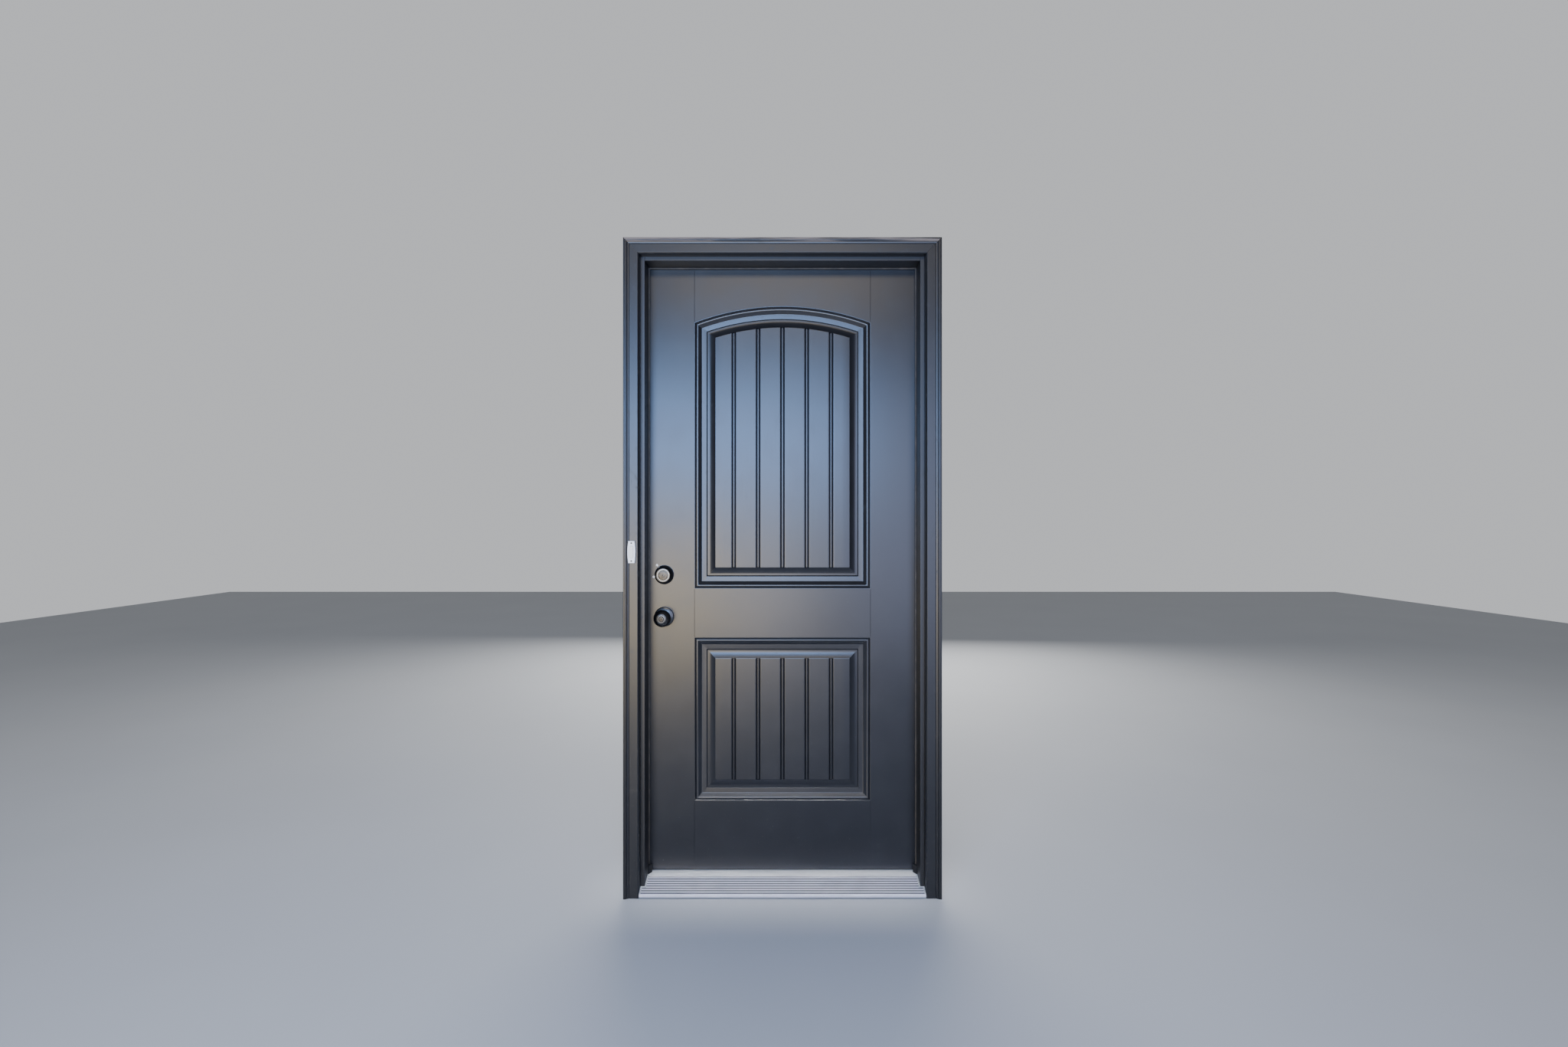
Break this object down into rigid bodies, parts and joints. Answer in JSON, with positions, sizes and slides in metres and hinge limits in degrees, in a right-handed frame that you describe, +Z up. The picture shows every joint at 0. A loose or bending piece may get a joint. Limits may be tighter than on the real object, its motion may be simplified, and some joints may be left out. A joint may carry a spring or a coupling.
{
  "type": "panelled front door",
  "caption": "Panelled entry door leaf with arched plank panels, hung in a rabbeted frame with brickmould casing, ribbed sill, knob set, deadbolt and bell push.",
  "frame": {"origin": "underside of the sill, midway across the doorway, in the plane of the jambs' street edges", "axes": "+X to the right seen from the street, towards the hinges; +Y from the street into the room; +Z up"},
  "size_m": [1.016, 0.2177, 2.107],
  "materials": {
    "jamb_paint": "satin paint on primed timber",
    "casing_paint": "satin paint on milled timber",
    "leaf_paint": "satin paint on a moulded skin",
    "sill_metal": "mill finish",
    "sealant": "cured sealant",
    "composite": "sawn",
    "cap_timber": "sealed",
    "edge_timber": "painted at the edge",
    "foam": "rigid foam",
    "seal": "vinyl-clad foam",
    "pad": "foam",
    "hinge_steel": "satin nickel plate",
    "screw_steel": "zinc plate",
    "nickel": "satin nickel",
    "lock_black": "satin black coat",
    "bell_plastic": "moulded"
  },
  "bodies": {
    "frame": {"head_jamb": "jamb_paint", "hinge_jamb": "jamb_paint", "latch_jamb": "jamb_paint", "head_brickmould": "casing_paint", "hinge_brickmould": "casing_paint", "latch_brickmould": "casing_paint", "sill_deck": "sill_metal", "sill_sealant": "sealant", "sill_base": "composite", "threshold_cap": "cap_timber", "head_weatherstrip": "seal", "hinge_weatherstrip": "seal", "latch_weatherstrip": "seal", "corner_pads": "pad", "jamb_hinge_leaf_top": "hinge_steel", "jamb_hinge_leaf_middle": "hinge_steel", "jamb_hinge_leaf_bottom": "hinge_steel", "jamb_hinge_screws": "screw_steel", "latch_strike_plate": "nickel", "deadbolt_strike_plate": "nickel", "strike_screws": "screw_steel", "bell_base": "bell_plastic", "bell_screws": "screw_steel"},
    "leaf": {"exterior_skin": "leaf_paint", "interior_skin": "leaf_paint", "latch_stile": "edge_timber", "hinge_stile": "edge_timber", "top_rail": "edge_timber", "bottom_rail": "composite", "foam_core": "foam", "lock_block": "edge_timber", "door_sweep": "seal", "door_hinge_leaf_top": "hinge_steel", "door_hinge_leaf_middle": "hinge_steel", "door_hinge_leaf_bottom": "hinge_steel", "hinge_pins": "hinge_steel", "door_hinge_screws": "screw_steel", "latch_faceplate": "nickel", "deadbolt_faceplate": "nickel", "faceplate_screws": "screw_steel", "latch_case": "screw_steel", "deadbolt_case": "screw_steel", "exterior_rose": "lock_black", "interior_rose": "lock_black", "deadbolt_ring": "lock_black", "deadbolt_cylinder": "nickel", "deadbolt_rose": "lock_black", "mounting_screws": "screw_steel"},
    "knob_set": {"exterior_knob": "lock_black", "knob_cylinder": "nickel", "knob_spindle": "screw_steel", "interior_knob": "lock_black"},
    "knob_plug": {"knob_key_plug": "nickel"},
    "knob_button": {"knob_turn_button": "lock_black"},
    "latch": {"latch_bolt": "nickel"},
    "bolt": {"deadbolt": "nickel"},
    "bolt_turn": {"thumb_turn": "lock_black", "tailpiece": "screw_steel"},
    "bolt_plug": {"deadbolt_key_plug": "nickel"},
    "bell_bar": {"bell_button": "bell_plastic"}
  },
  "joints": [
    {"name": "door_swing", "type": "hinge", "parent": "frame", "child": "leaf", "pos_m": [0.4556, 0.1287, 1], "axis": [0, 0, -1], "range_deg": [0, 110]},
    {"name": "knob_turn", "type": "hinge", "parent": "leaf", "child": "knob_set", "pos_m": [-0.3937, 0, 0.8847], "axis": [0, 1, 0], "range_deg": [0, 60], "stiffness_Nm_per_rad": 0.15},
    {"name": "latch_draw", "type": "slide", "parent": "leaf", "child": "latch", "axis": [1, 0, 0], "range_m": [0, 0.0127]},
    {"name": "knob_key_turn", "type": "hinge", "parent": "knob_set", "child": "knob_plug", "pos_m": [-0.3937, 0, 0.8847], "axis": [0, 1, 0], "range_deg": [0, 90]},
    {"name": "knob_button_turn", "type": "hinge", "parent": "knob_set", "child": "knob_button", "pos_m": [-0.3937, 0, 0.8847], "axis": [0, -1, 0], "range_deg": [0, 90]},
    {"name": "bolt_turn_swing", "type": "hinge", "parent": "leaf", "child": "bolt_turn", "pos_m": [-0.3937, 0, 1.0209], "axis": [0, -1, 0], "range_deg": [0, 90]},
    {"name": "bolt_throw", "type": "slide", "parent": "leaf", "child": "bolt", "axis": [-1, 0, 0], "range_m": [0, 0.0254]},
    {"name": "bolt_key_turn", "type": "hinge", "parent": "leaf", "child": "bolt_plug", "pos_m": [-0.3937, 0, 1.0209], "axis": [0, 1, 0], "range_deg": [0, 90]},
    {"name": "bell_push", "type": "slide", "parent": "frame", "child": "bell_bar", "axis": [0, 1, 0], "range_m": [0, 0.0015], "stiffness_N_per_m": 300}
  ],
  "couplings": [
    {"joint": "latch_draw", "follows": "knob_turn", "m_per_rad": 0.012128},
    {"joint": "bolt_throw", "follows": "bolt_turn_swing", "m_per_rad": 0.01617}
  ]
}
